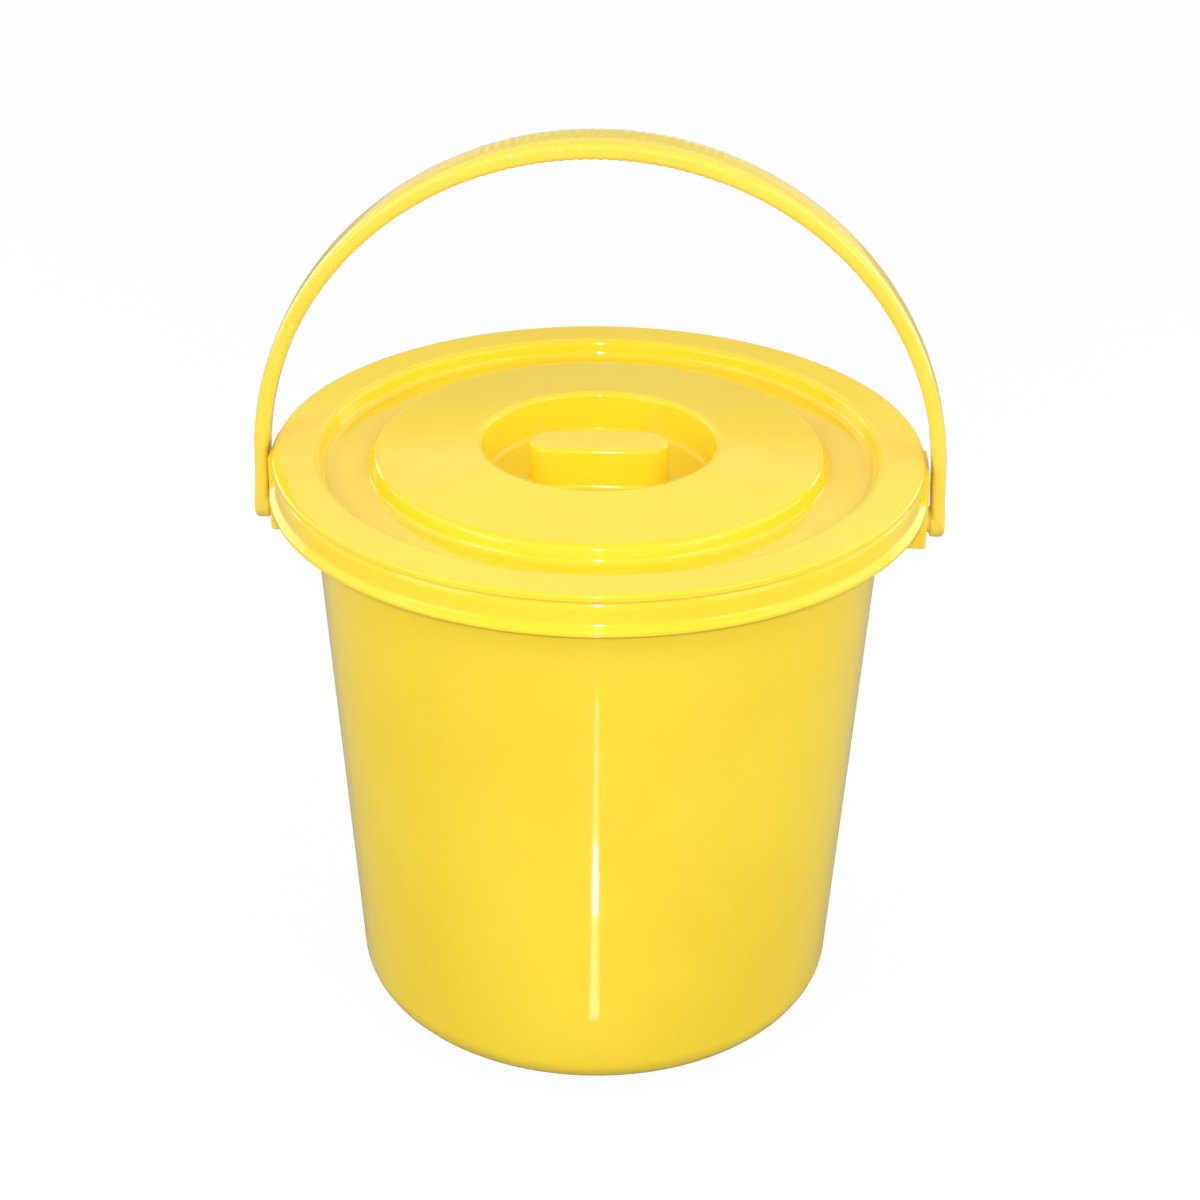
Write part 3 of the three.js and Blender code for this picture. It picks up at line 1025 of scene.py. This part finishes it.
@dataclass(frozen=True)
class Softbox:
    """A flat lamp that faces a point, with its width and height as its size."""

    name: str
    place: tuple[float, float, float]
    aim: tuple[float, float, float]
    size: tuple[float, float]
    watts: float
    colour: str = "#ffffff"

    def build(self) -> None:
        """Makes the lamp."""
        light = bpy.data.lights.new(self.name, "AREA")
        light.shape = "RECTANGLE"
        light.size = self.size[0] * MM
        light.size_y = self.size[1] * MM
        light.energy = self.watts
        light.color = linear(self.colour)[:3]
        lamp = bpy.data.objects.new(self.name, light)
        lamp.location = Vector(self.place) * MM
        lamp.rotation_mode = "QUATERNION"
        away = (Vector(self.aim) - Vector(self.place)).normalized()
        lamp.rotation_quaternion = away.to_track_quat("-Z", "Y")
        lamp.visible_camera = False
        bpy.context.scene.collection.objects.link(lamp)
        LOG.info("hung %s", self.name)


@dataclass(frozen=True)
class PhotoCamera:
    """The camera at the photograph's place, in millimetres and degrees."""

    height: float = 716.50
    distance: float = 1008.99
    focal_pixels: float = 2564.25
    pitch_deg: float = 27.7051
    yaw_deg: float = 0.0521
    roll_deg: float = 0.4928
    turn_deg: float = 2.8361
    frame_pixels: int = 1200
    sensor: float = 36.0
    nearest: float = 50.0
    farthest: float = 50000.0

    def build(self) -> None:
        """Makes the camera and gives it to the scene."""
        pitch = math.radians(self.pitch_deg)
        yaw = math.radians(self.yaw_deg)
        roll = math.radians(self.roll_deg)
        level_right = Vector((1, 0, 0))
        level_ahead = Vector((0, math.cos(pitch), -math.sin(pitch)))
        level_up = Vector((0, math.sin(pitch), math.cos(pitch)))
        ahead = level_ahead * math.cos(yaw) + level_right * math.sin(yaw)
        flat_right = level_right * math.cos(yaw) - level_ahead * math.sin(yaw)
        right = flat_right * math.cos(roll) + level_up * math.sin(roll)
        up = level_up * math.cos(roll) - flat_right * math.sin(roll)
        facing = Matrix((right, up, -ahead)).transposed()
        turn = Matrix.Rotation(math.radians(self.turn_deg), 3, "Z")
        place = Vector((0, -self.distance, self.height)) * MM
        data = bpy.data.cameras.new("photo_camera")
        data.sensor_width = self.sensor
        data.lens = self.focal_pixels / self.frame_pixels * self.sensor
        data.clip_start = self.nearest * MM
        data.clip_end = self.farthest * MM
        camera = bpy.data.objects.new("photo_camera", data)
        camera.matrix_world = Matrix.Translation(turn @ place) @ (turn @ facing).to_4x4()
        bpy.context.scene.collection.objects.link(camera)
        bpy.context.scene.camera = camera
        LOG.info("camera at %s", tuple(round(v, 3) for v in camera.location))


@dataclass
class Studio:
    """A white table that runs on into a white room, a flash at the camera and soft lamps.

    The room's light on the object goes by height: pairs of a way's upward share and its level.
    """

    camera: PhotoCamera = field(default_factory=PhotoCamera)
    laminate: SatinLaminate = field(default_factory=SatinLaminate)
    table_size: float = 9000.0
    flash_size: tuple[float, float] = (16.0, 16.0)
    flash_above_lens: float = 30.0
    flash_aim: tuple[float, float, float] = (0.0, 0.0, 200.0)
    flash_watts: float = 4.1
    softboxes: tuple[Softbox, ...] = (
        Softbox("left_softbox", place=(-750, 0, 620), aim=(0, 0, 240), size=(500, 800), watts=0.6),
        Softbox("right_softbox", place=(750, 0, 620), aim=(0, 0, 240), size=(500, 800), watts=1.0),
        Softbox("front_left_softbox", place=(-1100, -800, 900), aim=(0, 0, 200), size=(700, 900), watts=4.6),
        Softbox("front_right_softbox", place=(1100, -800, 900), aim=(0, 0, 200), size=(700, 900), watts=3.8),
        Softbox("back_left_softbox", place=(-1000, 700, 420), aim=(0, 0, 150), size=(700, 600), watts=2.4),
        Softbox("back_right_softbox", place=(1000, 700, 420), aim=(0, 0, 150), size=(700, 600), watts=2.4),
    )
    # The table throws a short bright glint and a long weak one on the front of the wall.
    glint_distance: float = 242.0
    glint_size: tuple[float, float] = (5.0, 50.0)
    glow_distance: float = 268.0
    glow_size: tuple[float, float] = (8.0, 240.0)
    glint_height: float = 3.0
    glint_aim: tuple[float, float, float] = (0.0, -238.0, 6000.0)
    glint_watts: float = 0.025
    room_strength: float = 1.1
    room_light: tuple[tuple[float, float], ...] = (
        (0.0, 0.68), (0.17, 0.68), (0.23, 0.43), (0.37, 0.43),
        (0.43, 0.93), (0.72, 0.93), (0.78, 0.35), (1.0, 0.35),
    )

    def lamps(self) -> list[Softbox]:
        """Lists the lamps.

        Returns:
            The flash, the softboxes, and the two glints that the table throws on the wall.
        """
        turn = Matrix.Rotation(math.radians(self.camera.turn_deg), 3, "Z")
        eye = turn @ Vector((0, -self.camera.distance, self.camera.height + self.flash_above_lens))
        # The glints lie flat on the table with their long side towards the bucket.
        glint = turn @ Vector((0, -self.glint_distance, self.glint_height))
        glow = turn @ Vector((0, -self.glow_distance, self.glint_height))
        above = tuple(turn @ Vector(self.glint_aim))
        return [
            Softbox("flash", tuple(eye), self.flash_aim, self.flash_size, self.flash_watts),
            *self.softboxes,
            Softbox("table_glint", tuple(glint), above, self.glint_size, self.glint_watts),
            Softbox("table_glow", tuple(glow), above, self.glow_size, self.glint_watts),
        ]

    def add_room(self) -> None:
        """Makes the world: white to the camera, a soft grey light to everything else."""
        world = bpy.data.worlds.new("white_room")
        world.use_nodes = True
        tree = world.node_tree
        tree.nodes.clear()
        ray = add_node(tree, "ShaderNodeLightPath").outputs["Is Camera Ray"]
        way = add_node(tree, "ShaderNodeTexCoord").outputs["Generated"]
        height = add_node(tree, "ShaderNodeSeparateXYZ", None, {0: way}).outputs["Z"]
        ramp = add_node(tree, "ShaderNodeValToRGB", None, {0: height})
        stops = ramp.color_ramp.elements
        while len(stops) < len(self.room_light):
            stops.new(1.0)
        for stop, (sine, level) in zip(stops, self.room_light):
            stop.position = sine
            stop.color = (level, level, level, 1.0)
        fill = add_node(
            tree, "ShaderNodeBackground",
            {"Strength": self.room_strength},
            {"Color": ramp.outputs["Color"]},
        )
        seen = add_node(tree, "ShaderNodeBackground", {"Color": linear("#ffffff"), "Strength": 1.0})
        mixed = add_node(
            tree, "ShaderNodeMixShader", None,
            {0: ray, 1: fill.outputs[0], 2: seen.outputs[0]},
        )
        add_node(tree, "ShaderNodeOutputWorld", None, {"Surface": mixed.outputs[0]})
        bpy.context.scene.world = world

    def add_table(self) -> None:
        """Makes the white table top."""
        half = self.table_size / 2 * MM
        data = bpy.data.meshes.new("table")
        corners = [(-half, -half, 0), (half, -half, 0), (half, half, 0), (-half, half, 0)]
        data.from_pydata(corners, [], [(0, 1, 2, 3)])
        table = bpy.data.objects.new("table", data)
        bpy.context.scene.collection.objects.link(table)
        data.materials.append(self.laminate.material())

    def build(self) -> None:
        """Makes the room, the table, the lamps and the camera."""
        self.add_room()
        self.add_table()
        for lamp in self.lamps():
            lamp.build()
        self.camera.build()
        bpy.context.scene.view_settings.view_transform = "Standard"


def main() -> None:
    """Builds the dressed bucket over its frame."""
    logging.basicConfig(level=logging.INFO, format="%(name)s: %(message)s")
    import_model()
    Studio().build()
    bucket = Bucket(MouldedPolypropylene("moulded_polypropylene_bucket"))
    lid = Lid(MouldedPolypropylene("moulded_polypropylene_lid"), bucket)
    # The bail's yellow is a shade paler than the bucket's.
    bail_finish = MouldedPolypropylene(
        "moulded_polypropylene_bail", colour="#fde154", deep_colour="#fbdb4b", rubbed_colour="#fde86f",
    )
    bail = Bail(bail_finish, bucket)
    for piece in (bucket, lid, bail):
        thing = piece.build()
        LOG.info("made %s with %d faces", thing.name, len(thing.data.polygons))
    bpy.context.view_layer.update()


if __name__ == "__main__":
    main()
